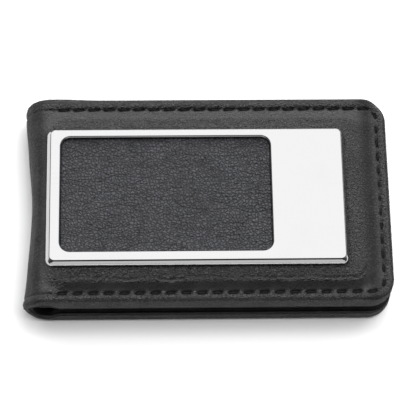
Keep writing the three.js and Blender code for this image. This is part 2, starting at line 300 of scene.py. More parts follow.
def round_fold(x, y, out, upper, sizes):
    """Carry a sheet drawn on the flat round the fold. Past the fold's axis the distance run turns
    into an angle, run over radius: x goes with its sine and the height with its cosine. On the
    lower jaw the sine is raised to a power, which flattens the fold's underside. The fold is drawn
    in at mid-width by a power of a cosine, and its front end is tucked in."""
    angle = np.clip(FOLD_X - x, 0, None) / FOLD_RADIUS
    waist = np.cos(np.clip((y + 1.5) / (HALF_WIDTH + 0.5), -1, 1) * np.pi / 2) ** 1.6
    reach = 1 - sizes.fold_waist / MM / FOLD_RADIUS * waist
    across = np.sin(angle) ** (1.0 if upper else 1.22)
    folded = np.where(angle > 0, FOLD_X - out * across * reach, x)
    tuck = sizes.fold_tuck / MM * np.clip((np.sin(angle) - 0.25) / 0.75, 0, 1) ** 2 * (y < 0)
    return folded, y * (1 - tuck / HALF_WIDTH), out * np.cos(angle)


def laid(x, y, out, upper):
    """Points from a plan and heights out: upwards on the upper jaw, downwards on the lower."""
    return np.stack([x, y, MIDDLE_Z + (out if upper else -out)], -1)


# ---- The stitch line ----
SIDE_RUN = SEAM_TIP - SEAM_CORNER - SEAM_START
CORNER_RUN = np.pi / 2 * SEAM_CORNER
TIP_RUN = 2 * (SEAM_SIDE - SEAM_CORNER)
SEAM_RUN = 2 * SIDE_RUN + 2 * CORNER_RUN + TIP_RUN


def stitch_count(sizes):
    """The number of stitches in a seam."""
    return round(SEAM_RUN / (sizes.stitch_pitch / MM))


def along_seam(x, y):
    """How far along the stitch line, counted from its nearer end, and how far outside it each point
    lies. The line is straight at the sides and the tip and a quarter circle at each corner."""
    dx = x - (SEAM_TIP - SEAM_CORNER)
    dy = np.abs(y) - (SEAM_SIDE - SEAM_CORNER)
    side = (dx <= 0) & (dy >= dx)
    tip = ~side & (dy <= 0)
    run = np.where(side, x - SEAM_START, SIDE_RUN + SEAM_CORNER * np.arctan2(dx, dy))
    run = np.where(tip, SIDE_RUN + CORNER_RUN + (SEAM_SIDE - SEAM_CORNER) - np.abs(y), run)
    beside = np.where(side, dy, np.where(tip, dx, np.hypot(dx, dy))) - SEAM_CORNER
    return run, beside


def seam_points(run):
    """The stitch line the other way round: the point and the outward direction at a run."""
    half = SEAM_RUN / 2
    back = run > half
    near = np.where(back, SEAM_RUN - run, run)
    angle = np.clip((near - SIDE_RUN) / SEAM_CORNER, 0, np.pi / 2)
    straight = np.minimum(near - SIDE_RUN, 0)
    up_tip = np.maximum(near - SIDE_RUN - CORNER_RUN, 0)
    x = SEAM_TIP - SEAM_CORNER + straight + SEAM_CORNER * np.sin(angle)
    y = SEAM_SIDE - SEAM_CORNER - up_tip + SEAM_CORNER * np.cos(angle)
    sign = np.where(back, 1.0, -1.0)
    return np.stack([x, sign * y], -1), np.stack([np.sin(angle), sign * np.cos(angle)], -1)


def stitch_relief(x, y, sizes):
    """Height of the leather along its stitch line: a shallow groove, a deeper slit over each stitch
    with a hole at both ends, and the border puffed up between the stitches."""
    run, beside = along_seam(x, y)
    pitch = SEAM_RUN / stitch_count(sizes)
    at_tip = smooth(x, SEAM_TIP - 1, SEAM_TIP - 0.3)
    shorter = (1 - 0.16 * (y < 0) * (1 - at_tip)) * (1 - 0.5 * at_tip)
    half = sizes.stitch_length / MM / 2 * shorter
    along = (run / pitch) % 1 * pitch - pitch / 2
    on = smooth(x, SEAM_START - 0.3, SEAM_START + 0.3)
    lean = beside - np.sign(y) * STITCH_LEAN * along
    cut = np.exp(-((along / (half + 0.1)) ** 6))
    slit = cut * bump_at(lean, 0, 0.29)
    holes = bump_at(np.abs(along), half, 0.26) * bump_at(lean, 0, 0.26)
    calm = 1 - 0.55 * smooth(-x, -FOLD_X - 2, -FOLD_X + 1)
    valley = bump_at(beside, 0, 0.19) * 0.14 + bump_at(beside, 0, 0.42) * 0.08
    valley = valley * calm * (1 - 0.6 * on * (1 - cut))
    rim = 0.15 * bump_at(beside, 1.55, 0.18)
    puff = 0.4 - 0.6 * np.cos(2 * np.pi * along / pitch)
    border = bump_at(beside, 0.95, 0.6)
    gathers = 0.045 * ripples(run * np.sign(y), 0 * y, 1.3, 5) * on
    pucker = (0.08 * on * puff + 0.17 * calm + gathers) * border
    return pucker - valley - rim - on * (0.32 * slit + 0.22 * holes)


# ---- Leather pieces ----
def panel_distance(x, y):
    """How far outside the padded panel's flat top each point of the plan lies."""
    return box_distance(x, y, PAD_LOW[:2] + [0, -0.7], PAD_HIGH[:2] + [-0.8, 0.7], 2.2)


def crease_wander(x, y, seed):
    """How far the crease at the foot of the panel strays from its line."""
    return 0.22 * ripples(x, y, 8, seed) + 0.1 * ripples(x, y, 1.9, seed + 1)


def along_crease(across, x):
    """1 where the crease at the foot of the panel runs, fading to 0 away from it."""
    return smooth(across, *CREASE_SIDE) * smooth(x, *CREASE_START)


def cover_height(x, y, upper, sizes, seed):
    """Out of the outer leather's face, over the flat plan. To the fold's radius it adds the padded
    panel with soft shoulders, the ridge that the plate's edge presses up, the crease and wrinkles
    where the panel meets its border, the stitching and the fold's own fine creases."""
    off = panel_distance(x, y)
    rise = UPPER_RISE if upper else LOWER_RISE
    panel = rise * (1 - smooth(off, -0.4, sizes.shoulder / MM)) ** 0.8
    edge = box_distance(x, y, PLATE_LOW[:2], PLATE_HIGH[:2], PLATE_CORNER)
    pressed = 0.1 * bump_at(edge, 0.75, 0.55) * smooth(edge, 0, 0.5)
    wander = crease_wander(x, y, seed)
    strength = along_crease(np.abs(y), x) * (0.8 + 0.2 * ripples(x, y, 5, seed + 2))
    strength = strength * np.where(y > 0, 0.4, 1)
    crease = 0.34 * bump_at(off, 0.1 + wander, 0.2)
    crease = crease + 0.12 * bump_at(off, -0.5 + 0.6 * wander, 0.2)
    gathers = 0.12 * ripples(x, y * 0.3, 1.5, seed + 3) * bump_at(off, 0.15 + wander, 0.5)
    fold = smooth(-x, -FOLD_X - 2.5, -FOLD_X + 1.5)
    bends = ripples(x, y, 1.6, seed + 4, stretch=9) * 0.035 * fold
    drape = ripples(x, y, 4.5, seed + 6, stretch=3) * 0.05 * fold
    hem = bump_at(np.abs(y), SEAM_SIDE, 0.2) * 0.08 * fold
    waviness = 0.035 * ripples(x, y, 11, seed + 5) * smooth(HALF_WIDTH - np.abs(y), 0, 3)
    height = FOLD_RADIUS + panel + (pressed if upper else -LOWER_SINK)
    height = height + strength * (gathers - crease) + bends + drape - hem + waviness
    return height + stitch_relief(x, y, sizes)


def lip_depth(x, board_depth, cover):
    """How deep the turned edge reaches: to the lining beside the board, and only over the outer
    leather's own thickness round the fold, following the lining's slope between the two."""
    return board_depth + (cover + 0.03 - board_depth) * smooth(-x, -FOLD_X - LINING_RAMP, -FOLD_X)


def cover_sheet(upper, sizes, seed):
    """Outer leather of a jaw and its half of the fold: the face by cover_height with its edges
    turned over the board, closed by an inner face one leather's thickness behind it."""
    cover = sizes.cover_thickness / MM
    u, v = jaw_stations(COVER_ROLL, fine=0.19, wall_steps=4, along=0.32, across=0.8)
    x, y, s = plan(u, v, (NO_EDGE, -HALF_WIDTH), (TIP_X, HALF_WIDTH), TIP_CORNER, COVER_ROLL)
    inset = rolled_edge(s, COVER_ROLL, 1)[0]
    board_depth = FOLD_RADIUS - BOARD_IN + 0.03
    drop = rolled_edge(s, COVER_ROLL, lip_depth(x, board_depth, cover))[1]
    height = cover_height(x, y, upper, sizes, seed)
    wider = BACK_OVERHANG + 0.3 * bump_at(x, FOLD_X + 2, 5)
    beyond = 1 if upper else smooth(-x, -FOLD_X - 1, -FOLD_X + np.pi / 2 * FOLD_RADIUS)
    y = y + wider * beyond * smooth(y, SEAM_SIDE + 0.4, HALF_WIDTH - 0.2)
    outer = round_fold(x, y, height - drop, upper, sizes)
    share = SKIVED * np.clip(1 - inset / EDGE_ZONE, 0, 1)
    in_y = y * (1 - share / HALF_WIDTH)
    in_x = x - share * smooth(x, TIP_X - EDGE_ZONE, TIP_X)
    wall = np.clip(-(np.pi / 2 - 1) * COVER_ROLL - s, 0, 1)
    lip = FOLD_RADIUS - lip_depth(x, board_depth, cover)
    face = FOLD_RADIUS + (height - FOLD_RADIUS) * smooth(inset, 2.6, 4.2) - cover
    inner = round_fold(in_x, in_y, face - wall * (face - lip - 0.015), upper, sizes)
    points, faces, flat_from = shell(laid(*outer, upper), laid(*inner, upper))
    place = GRAIN_HEIGHT["upper cover" if upper else "lower cover"]
    rest = np.stack([x, y, height - drop + place], -1).reshape(-1, 3)
    return points, faces, flat_from, cover_marks(x, y, s, rest, upper, sizes, seed)


def cover_marks(x, y, s, rest, upper, sizes, seed):
    """Wear and painted shade of the outer leather. It is rubbed just outside the stitch line and
    on the fold, and taut between the panel and the stitches. Painted shade darkens it on the
    fold, at the tip's border, in the crease, beside the plate at the fold's end, and on the
    turned edge and the line above it."""
    beside_seam = along_seam(x, y)[1]
    rub = 0.9 * bump_at(beside_seam, 0.55, 0.4) + 0.6 * smooth(-x, -FOLD_X + 2, -FOLD_X + 7)
    off = panel_distance(x, y)
    front = along_crease(-y, x)
    taut = smooth(off, 0.3, 1.3) * smooth(-beside_seam, 0, 0.4) * (0.55 + 0.45 * front)
    # Painted shade: darker colour in the crease at the foot of the panel.
    crease_and_plate_shade = 0.55 * front * bump_at(off, 0.05 + crease_wander(x, y, seed), 0.2)
    if upper:
        beside_plate = box_distance(x, y, PLATE_LOW[:2], PLATE_HIGH[:2], PLATE_CORNER)
        # Painted shade: darker colour beside the plate's edge at the fold's end, where the plate
        # shades the leather.
        crease_and_plate_shade = crease_and_plate_shade + 0.6 * bump_at(beside_plate, 0.2, 1.0) * smooth(-x, 31, 33)
    # Painted shade: the fold and the border near the tip are made darker.
    bend = 0.8 * smooth(-x, -FOLD_X, -FOLD_X + 2.5) + 0.8 * bump_at(x, 33.4, 1.8)
    # Painted shade: a dark line just inside the turned edge.
    edge_shade_line = 0.8 * bump_at(beside_seam, 1.62, 0.15)
    # Painted shade on the turned edge and its wall as well.
    shade = np.maximum(crease_and_plate_shade + bend + edge_shade_line, smooth(-s, -0.1, 0.2))
    return leather_marks(x, y, rest, rub, taut, shade, sizes)


def leather_marks(x, y, rest, rub, taut, shade, sizes):
    """What the leather's material reads at every point of a sheet's two faces: its place before it
    was bent, and how rubbed, how darkened by painted shade and how taut it is there, from 0 to 1.
    The painted shade darkens the stitch line's grooves and holes as well as the shaded places."""
    # Painted shade: darker colour in the stitch line's grooves and holes, and wherever the shade
    # mark is set.
    sunk = np.maximum(-stitch_relief(x, y, sizes) / 0.28, shade)
    marks = {"rub": rub, "sunk": sunk, "taut": taut}
    found = {name: np.tile(np.clip(mark, 0, 1).ravel(), 2) for name, mark in marks.items()}
    return {"rest": np.concatenate([rest, rest - [0, 0, 20]]), **found}


def lining_heights(x, y, lining, cover):
    """Out of the lining's two faces: flat on the board, sloping up to the fold, and swelling over
    each magnet into a round boss with soft shoulders."""
    ramp = smooth(-x, -FOLD_X - LINING_RAMP, -FOLD_X)
    flat = BOARD_IN - GLUE
    spread = FOLD_RADIUS - cover - GLUE
    back = flat + (spread - flat) * ramp
    swell = np.zeros_like(x)
    for spot in MAGNETS:
        far = np.hypot(x - spot[0], y - spot[1])
        slope = smooth(far, MAGNET_RADIUS + 0.2, MAGNET_RADIUS + 1.5)
        swell = np.maximum(swell, 0.88 * (1 - slope))
    thick = lining + 0.8 * bump_at(x, FOLD_X - 0.8, 2.3)
    return back - thick - swell, back - swell


def lining_sheet(upper, sizes, seed):
    """Inner leather of a jaw and its half of the fold, with rounded edges on the throat's side."""
    lining = sizes.lining_thickness / MM
    u, v = jaw_stations(LINING_ROLL, fine=0.24, wall_steps=2, along=0.4, across=0.7)
    edge = 0.06
    low, high = (NO_EDGE, -HALF_WIDTH + edge), (TIP_X - edge, HALF_WIDTH - edge)
    v = v * (1 - edge / HALF_WIDTH)
    x, y, s = plan(u - edge, v, low, high, TIP_CORNER - edge, LINING_ROLL)
    drop = rolled_edge(s, LINING_ROLL, lining - 0.02)[1]
    throat, back = lining_heights(x, y, lining, sizes.cover_thickness / MM)
    relief = stitch_relief(x, y, sizes) * 0.8 + 0.03 * ripples(x, y, 7, seed)
    fold = smooth(-x, -FOLD_X - 1, -FOLD_X + 2)
    relief = relief * (1 - fold) + ripples(x, y, 1.7, seed + 1, stretch=8) * 0.04 * fold
    outer = round_fold(x, y, throat - relief + drop, upper, sizes)
    inner = round_fold(x, y, back, upper, sizes)
    points, faces, flat_from = shell(laid(*outer, upper), laid(*inner, upper))
    place = GRAIN_HEIGHT["upper lining" if upper else "lower lining"]
    rest = np.stack([x, y, drop + place], -1).reshape(-1, 3)
    rub = smooth(-s, -0.6, 0.1)
    # The lining's turned edges are rubbed, and also darkened by painted shade.
    return points, faces, flat_from, leather_marks(x, y, rest, rub, 0 * x, 0.85 * rub, sizes)


def thread_stitches(surface, up, sizes, seed):
    """Every stitch of one seam: a short length of two-ply thread laid along the stitch line. Its
    radius follows the root of 1 - t^6 and its ends dive by the square of t, where t runs from -1 to
    1; round it the radius swells and shrinks twice, turned a little further at each ring."""
    count = stitch_count(sizes)
    rings, sides = 9, 8
    pitch = SEAM_RUN / count
    half = sizes.stitch_length / MM / 2 + 0.18
    thick = sizes.thread_width / MM / 2
    rng = np.random.default_rng(seed)
    t = np.linspace(-0.985, 0.985, rings)
    middle = (np.arange(count) + 0.5) * pitch + rng.uniform(-0.05, 0.05, count)
    spot, outward = seam_points(middle[:, None] + half * t)
    spot = spot + outward * (np.sign(spot[..., 1:]) * STITCH_LEAN * (half * t)[:, None])
    around = np.arange(sides) * 2 * np.pi / sides
    ply = 1 + 0.14 * np.cos(2 * (around[None, :] - 2.6 * t[:, None]))
    radius = thick * (1 - t**6)[:, None] ** 0.5 * ply
    depth = -0.34 * t**2 + rng.uniform(-0.03, 0.03, (count, 1))
    side_step = (radius * np.cos(around))[None, :, :, None] * outward[:, :, None, :]
    xy = spot[:, :, None, :] + side_step
    z = surface + up * (depth[:, :, None] + 0.8 * (radius * np.sin(around))[None])
    points = np.concatenate([xy, z[..., None]], -1).reshape(-1, 3)
    index = np.arange(rings * sides).reshape(rings, sides)
    ahead = np.roll(index, -1, axis=1)
    walls = np.stack([index[:-1], index[1:], ahead[1:], ahead[:-1]], -1).reshape(-1, 4)
    end = np.array([[0, 1, 2, 3], [0, 3, 4, 7], [4, 5, 6, 7]])
    one = np.concatenate([walls, end, end[:, ::-1] + (rings - 1) * sides])
    faces = (one[None] + (np.arange(count) * rings * sides)[:, None, None]).reshape(-1, 4)
    strand = np.stack(np.broadcast_arrays(
        middle[:, None, None] + 0 * radius[None],
        half * t[None, :, None] + 0 * radius[None],
        around[None, None, :] + 0 * middle[:, None, None],
    ), -1).reshape(-1, 3)
    return points, faces, strand


def pad_block(low, high, corner, roll, crown, step, top, seed, dish=0.0):
    """A closed pad: its upper face is rolled over at the edges and crowned by crown times the
    product of two parabolas, its lower face flat. top says which way the crowned face looks. dish
    pulls the sides in between the corners."""
    rim = rim_stations(roll, step, 2, zone=2.0)
    inner_u = np.linspace(low[0] + 2, high[0] - 2, round((high[0] - low[0] - 4) / step) + 1)[1:-1]
    inner_v = np.linspace(low[1] + 2, high[1] - 2, round((high[1] - low[1] - 4) / step) + 1)[1:-1]
    u = np.concatenate([low[0] + rim, inner_u, high[0] - rim[::-1]])
    v = np.concatenate([low[1] + rim, inner_v, high[1] - rim[::-1]])
    x, y, s = plan(u, v, low, high, corner, roll, fold_corner=corner)
    thick = high[2] - low[2]
    drop = rolled_edge(s, roll, thick - 0.02)[1]
    across = 2 * (x - (low[0] + high[0]) / 2) / (high[0] - low[0])
    beside = 2 * (y - (low[1] + high[1]) / 2) / (high[1] - low[1])
    swell = crown * ((1 - across**2).clip(0) * (1 - beside**2).clip(0)) ** 0.4
    wave = 0.25 * crown * ripples(x, y, 6, seed)
    height = thick - crown - drop + (swell + wave) * smooth(s, 0, 1.5)
    pull = dish * (1 - across**2).clip(0)
    y = y - np.sign(beside) * pull * np.abs(beside) ** 3
    face = low[2] + height if top else high[2] - height
    back = np.full_like(x, low[2] if top else high[2])
    points, faces, flat_from = shell(np.stack([x, y, face], -1), np.stack([x, y, back], -1))
    return points, faces, flat_from, x, y


# ---- The plate ----
def rounded_loop(low, high, corner, z, corner_steps=10, side_steps=6):
    """A closed loop at height z round a rectangle with quarter-circle corners, counterclockwise."""
    right, left = high[0] - corner, low[0] + corner
    back, front = high[1] - corner, low[1] + corner
    arcs = []
    for x, y, start in ((right, front, -90), (right, back, 0), (left, back, 90),
                        (left, front, 180)):
        turn = np.radians(start + np.linspace(0, 90, corner_steps))
        arcs.append(np.stack([x + corner * np.cos(turn), y + corner * np.sin(turn)], -1))
    pieces = []
    for arc, following in zip(arcs, arcs[1:] + arcs[:1]):
        share = np.linspace(0, 1, side_steps + 2)[1:-1, None]
        pieces += [arc, arc[-1] + (following[0] - arc[-1]) * share]
    xy = np.concatenate(pieces)
    return np.column_stack([xy, np.full(len(xy), z)])


def plate_loops(sizes):
    """The plate as a stack of loops: up its side, over a bevel with softened rims, across the flat
    top to the window, down the window's wall and in over the floor of the recess."""
    bevel = sizes.plate_bevel / MM
    top, floor = PLATE_HIGH[2], INLAY_LOW[2] - GLUE
    low, high = PLATE_LOW[:2], PLATE_HIGH[:2]
    window_low, window_high = INLAY_LOW[:2] - WINDOW_GAP, INLAY_HIGH[:2] + WINDOW_GAP
    side = [(-0.05, PLATE_BOTTOM), (-0.2, PLATE_BOTTOM + 0.04), (-0.26, PLATE_BOTTOM + 0.12),
            (-0.26, top - 1.12), (-0.24, top - 1.06), (0.03, top - 0.652), (0.06, top - 0.61),
            (0.09, top - 0.568), (bevel - 0.03, top - 0.19), (bevel, top - 0.155),
            (bevel + 0.03, top - 0.13), (bevel + 0.15, top - 0.035), (bevel + 0.18, top - 0.015),
            (bevel + 0.22, top - 0.003), (bevel + 0.27, top), (bevel + 0.4, top)]
    window = [(-0.4, top), (-0.3, top), (-0.26, top - 0.01), (-0.22, top - 0.04),
              (-0.01, top - 0.35), (0.0, top - 0.4), (0.0, floor + 0.1), (0.03, floor + 0.02),
              (0.12, floor), (0.6, floor)]
    loops = [rounded_loop(low + d, high - d, max(PLATE_CORNER - d * 0.6, 0.3), z) for d, z in side]
    loops += [rounded_loop(window_low + d, window_high - d, WINDOW_CORNER - d, z)
              for d, z in window]
    return np.stack(loops)


def stud(x, y, low, high):
    """A stud under the plate: a stack of loops of one circle from low to high."""
    turn = np.linspace(0, 2 * np.pi, 16, endpoint=False)
    loops = []
    tip = STUD_RADIUS - STUD_CHAMFER
    for radius, z in ((tip, low), (STUD_RADIUS, low + STUD_CHAMFER), (STUD_RADIUS, high)):
        ring = [x + radius * np.cos(turn), y + radius * np.sin(turn), 0 * turn + z]
        loops.append(np.stack(ring, -1))
    return np.stack(loops)


# ---- Finishes ----
def feed(tree, node, inputs):
    """Give each named or numbered socket of a node a value or another node's output."""
    for key, value in inputs.items():
        if isinstance(value, bpy.types.NodeSocket):
            tree.links.new(value, node.inputs[key])
        else:
            node.inputs[key].default_value = value


def add(tree, kind, inputs=(), **settings):
    """Add a node: settings are its own properties, and inputs give a socket, by its name or number,
    a value or another node's output."""
    made = tree.nodes.new(kind)
    for key, value in settings.items():
        setattr(made, key, value)
    feed(tree, made, dict(inputs))
    return made


def calculate(tree, operation, a, b=0.0, clamp=False):
    """A math node's result."""
    made = add(tree, "ShaderNodeMath", {0: a, 1: b}, operation=operation, use_clamp=clamp)
    return made.outputs[0]


def plus(tree, a, b):
    """The sum of two numbers in a material."""
    return calculate(tree, "ADD", a, b)


def times(tree, a, b):
    """The product of two numbers in a material."""
    return calculate(tree, "MULTIPLY", a, b)


def blend_colour(tree, factor, a, b, kind="MIX"):
    """A mix of two colours."""
    made = add(tree, "ShaderNodeMix", {0: factor, 6: a, 7: b}, data_type="RGBA", blend_type=kind)
    return made.outputs[2]


def tinted(tree, colour, tone):
    """A colour times a number."""
    grey = add(tree, "ShaderNodeCombineColor", {0: tone, 1: tone, 2: tone}).outputs[0]
    return blend_colour(tree, 1.0, colour, grey, kind="MULTIPLY")


def remap(tree, value, low, high, to_low=0.0, to_high=1.0):
    """A value carried from one range to another, eased at both ends and held beyond them."""
    made = add(tree, "ShaderNodeMapRange", {0: value, 1: low, 2: high, 3: to_low, 4: to_high},
               interpolation_type="SMOOTHSTEP")
    return made.outputs[0]


def noise(tree, place, scale, detail=3.0, roughness=0.55):
    """Soft noise from 0 to 1."""
    inputs = {"Vector": place, "Scale": scale, "Detail": detail, "Roughness": roughness}
    return add(tree, "ShaderNodeTexNoise", inputs).outputs["Fac"]


def cell_edges(tree, place, scale, randomness=1.0):
    """The distance to the nearest border between the cells of a Voronoi pattern."""
    inputs = {"Vector": place, "Scale": scale, "Randomness": randomness}
    made = add(tree, "ShaderNodeTexVoronoi", inputs, feature="DISTANCE_TO_EDGE")
    return made.outputs["Distance"]


def give(tree, result, colour, rough, height):
    """Connect a group's three outputs."""
    for label, value in (("Colour", colour), ("Roughness", rough), ("Height", height)):
        tree.links.new(value, result.inputs[label])


def open_group(name, inputs, outputs):
    """A new node group with those named sockets, or None for the tree if it is already there."""
    if name in bpy.data.node_groups:
        return bpy.data.node_groups[name], None, None
    tree = bpy.data.node_groups.new(name, "ShaderNodeTree")
    for label, kind in inputs.items():
        tree.interface.new_socket(label, in_out="INPUT", socket_type=kind)
    for label, kind in outputs.items():
        tree.interface.new_socket(label, in_out="OUTPUT", socket_type=kind)
    return tree, tree.nodes.new("NodeGroupInput"), tree.nodes.new("NodeGroupOutput")


NUMBER, COLOUR, VECTOR = "NodeSocketFloat", "NodeSocketColor", "NodeSocketVector"


def pebble_group():
    """Leather grain: rounded pebbles of uneven size with fine pores on them, split by narrow
    valleys, crossed by faint long creases. Rubbed places are smoother, and the painted shade
    makes places darker and duller."""
    tree, given, result = open_group(
        "Pebble grain",
        {"Place": VECTOR, "Colour": COLOUR, "Valley colour": COLOUR, "Pebbles per mm": NUMBER,
         "Creases": NUMBER, "Rub": NUMBER, "Painted shade": NUMBER, "Taut": NUMBER, "Dullness": NUMBER},
        {"Colour": COLOUR, "Roughness": NUMBER, "Height": NUMBER},
    )
    if given is None:
        return tree
    place, full, valley, per_mm, creases, rub, sunk, taut, dullness = given.outputs[:9]
    sway = add(tree, "ShaderNodeTexNoise", {"Vector": place, "Scale": 1.3, "Detail": 2.0})
    shift = add(tree, "ShaderNodeVectorMath", {0: sway.outputs["Color"], 3: 0.55},
                operation="SCALE").outputs[0]
    warped = add(tree, "ShaderNodeVectorMath", {0: place, 1: shift}, operation="ADD").outputs[0]
    pebble = remap(tree, cell_edges(tree, warped, per_mm, 0.95), 0.0, 0.3)
    grains = remap(tree, cell_edges(tree, warped, times(tree, per_mm, 2.3)), 0.0, 0.22)
    body = plus(tree, times(tree, pebble, 0.72), times(tree, grains, 0.28))
    stretch = add(tree, "ShaderNodeMapping", {"Vector": warped, "Rotation": (0, 0, 0.7),
                  "Scale": (0.16, 0.7, 0.5)}).outputs[0]
    vein = remap(tree, cell_edges(tree, stretch, 1.0), 0.0, 0.055, 1.0, 0.0)
    vein = times(tree, vein, creases)
    patches = noise(tree, place, 0.22, 4.0)
    pores = noise(tree, place, 9.0, 2.0)
    calm = calculate(tree, "SUBTRACT", 1.0, times(tree, taut, 0.9))
    height = calculate(tree, "SUBTRACT", times(tree, body, calm), times(tree, vein, calm))
    height = plus(tree, height, times(tree, pores, 0.12))
    shade = calculate(tree, "SUBTRACT", body, times(tree, vein, 0.6), clamp=True)
    colour = blend_colour(tree, remap(tree, shade, 0.0, 0.8), valley, full)
    tone = remap(tree, patches, 0.3, 0.7, 0.82, 1.16)
    # Painted shade: the colour is darkened where the painted shade mark is high.
    tone = times(tree, tone, remap(tree, sunk, 0.0, 1.0, 1.0, 0.3))
    tone = times(tree, tone, remap(tree, rub, 0.0, 1.0, 1.0, 1.25))
    rough = plus(tree, dullness, remap(tree, shade, 0.0, 0.8, 0.16, 0.0))
    rough = plus(tree, rough, remap(tree, patches, 0.3, 0.7, -0.05, 0.06))
    rough = calculate(tree, "SUBTRACT", rough, times(tree, rub, 0.08))
    rough = plus(tree, rough, times(tree, sunk, 0.55))
    give(tree, result, tinted(tree, colour, tone), rough, height)
    return tree


def scuff_group():
    """Polished or plated metal: hairline scratches in two directions, and faint smears from hands
    that make the gloss uneven."""
    tree, given, result = open_group(
        "Metal scuffs",
        {"Place": VECTOR, "Colour": COLOUR, "Roughness": NUMBER, "Smears": NUMBER,
         "Scratches": NUMBER},
        {"Colour": COLOUR, "Roughness": NUMBER, "Height": NUMBER},
    )
    if given is None:
        return tree
    place, full, gloss, smears, scratches = given.outputs[:5]
    lines = []
    for turn, scale in ((0.35, (18.0, 1200.0, 300.0)), (-0.9, (30.0, 1700.0, 300.0))):
        across = add(tree, "ShaderNodeMapping", {"Vector": place, "Rotation": (0, 0, turn),
                     "Scale": scale}).outputs[0]
        lines.append(remap(tree, noise(tree, across, 1.0, 1.0), 0.66, 0.72))
    scratch = times(tree, calculate(tree, "MAXIMUM", *lines), scratches)
    smear = times(tree, remap(tree, noise(tree, place, 90.0, 5.0), 0.4, 0.75), smears)
    rough = plus(tree, gloss, times(tree, smear, 0.1))
    rough = plus(tree, rough, times(tree, scratch, 0.12))
    dim = remap(tree, plus(tree, smear, scratch), 0.0, 2.0, 1.0, 0.9)
    give(tree, result, tinted(tree, full, dim), rough, times(tree, scratch, -1.0))
    return tree


def speckle_group():
    """Pressed fibre, foam cells or spun thread seen close: a fine clumped speckle between two
    colours with a matching relief."""
    tree, given, result = open_group(
        "Fine speckle",
        {"Place": VECTOR, "Colour": COLOUR, "Dark colour": COLOUR, "Scale": NUMBER},
        {"Colour": COLOUR, "Roughness": NUMBER, "Height": NUMBER},
    )
    if given is None:
        return tree
    place, full, dark, scale = given.outputs[:4]
    clumps = noise(tree, place, scale, 4.0, 0.7)
    cells = add(tree, "ShaderNodeTexVoronoi", {"Vector": place, "Scale": times(tree, scale, 1.7)})
    mask = plus(tree, clumps, times(tree, cells.outputs["Distance"], 0.4))
    mask = remap(tree, mask, 0.45, 0.95)
    colour = blend_colour(tree, mask, dark, full)
    give(tree, result, colour, remap(tree, mask, 0.0, 1.0, 0.95, 0.7), mask)
    return tree


def start_material(name, metallic=0.0, **surface):
    """A material with one Principled surface, whose plain values are set on its own sockets."""
    material = bpy.data.materials.new(name)
    material.use_nodes = True
    tree = material.node_tree
    principled = tree.nodes["Principled BSDF"]
    principled.inputs["Metallic"].default_value = metallic
    for label, value in surface.items():
        label = label.replace("_", " ").title().replace("Ior", "IOR")
        principled.inputs[label].default_value = value
    return material, tree, principled


def finish_with(tree, principled, group, inputs, relief):
    """Place a group in a material: its colour, roughness and height feed the surface."""
    placed = tree.nodes.new("ShaderNodeGroup")
    placed.node_tree = group
    feed(tree, placed, inputs)
    raised = add(tree, "ShaderNodeBump", {"Height": placed.outputs["Height"], "Strength": 1.0,
                                          "Distance": relief * MM})
    tree.links.new(placed.outputs["Colour"], principled.inputs["Base Color"])
    tree.links.new(placed.outputs["Roughness"], principled.inputs["Roughness"])
    tree.links.new(raised.outputs[0], principled.inputs["Normal"])


def attribute(tree, name, output):
    """What a point attribute of the mesh holds."""
    return add(tree, "ShaderNodeAttribute", attribute_name=name).outputs[output]


def leather(name, colour, valley, per_mm, relief, dullness, creases, **surface):
    """Grained leather that reads its wear from the mesh. relief is in millimetres."""
    material, tree, principled = start_material(name, **surface)
    finish_with(tree, principled, pebble_group(), {
        "Place": attribute(tree, "rest", "Vector"), "Colour": (*colour, 1),
        "Valley colour": (*valley, 1), "Pebbles per mm": per_mm, "Creases": creases,
        "Rub": attribute(tree, "rub", "Fac"),
        "Painted shade": attribute(tree, "sunk", "Fac"), "Taut": attribute(tree, "taut", "Fac"),
        "Dullness": dullness,
    }, relief)
    return material


def metal(name, colour, roughness, smears, scratches, relief):
    """Polished or plated metal."""
    material, tree, principled = start_material(name, metallic=1.0)
    place = add(tree, "ShaderNodeTexCoord").outputs["Object"]
    finish_with(tree, principled, scuff_group(), {
        "Place": place, "Colour": (*colour, 1), "Roughness": roughness, "Smears": smears,
        "Scratches": scratches,
    }, relief)
    return material


def speckled(name, colour, dark, scale, relief, place=None):
    """Board, foam or thread. place names the attribute that the speckle follows, if any."""
    material, tree, principled = start_material(name)
    if place is None:
        place = add(tree, "ShaderNodeTexCoord").outputs["Object"]
    else:
        place = attribute(tree, place, "Vector")
    finish_with(tree, principled, speckle_group(), {
        "Place": place, "Colour": (*colour, 1), "Dark colour": (*dark, 1), "Scale": scale,
    }, relief)
    return material


def darker(colour, share):
    """A share of a colour's brightness."""
    return tuple(channel * share for channel in colour)


# ---- Properties ----
def length(label, default, description):
    """A length that is given in millimetres and kept in metres."""
    return FloatProperty(name=label, description=description, default=default * MM, min=0.0,
                         unit="LENGTH", precision=5)


def colour(label, default, description):
    """A colour."""
    return FloatVectorProperty(name=label, description=description, default=default, size=3,
                               min=0.0, max=1.0, subtype="COLOR")


def share(label, default, description):
    """A number from 0 to 1."""
    return FloatProperty(name=label, description=description, default=default, min=0.0, max=1.0,
                         subtype="FACTOR")


def angle(label, degrees, description):
    """An angle that is given in degrees and kept in radians."""
    return FloatProperty(name=label, description=description, default=math.radians(degrees),
                         subtype="ANGLE")


def amount(label, default, description, low=0.0):
    """A number that isn't below low."""
    return FloatProperty(name=label, description=description, default=default, min=low)


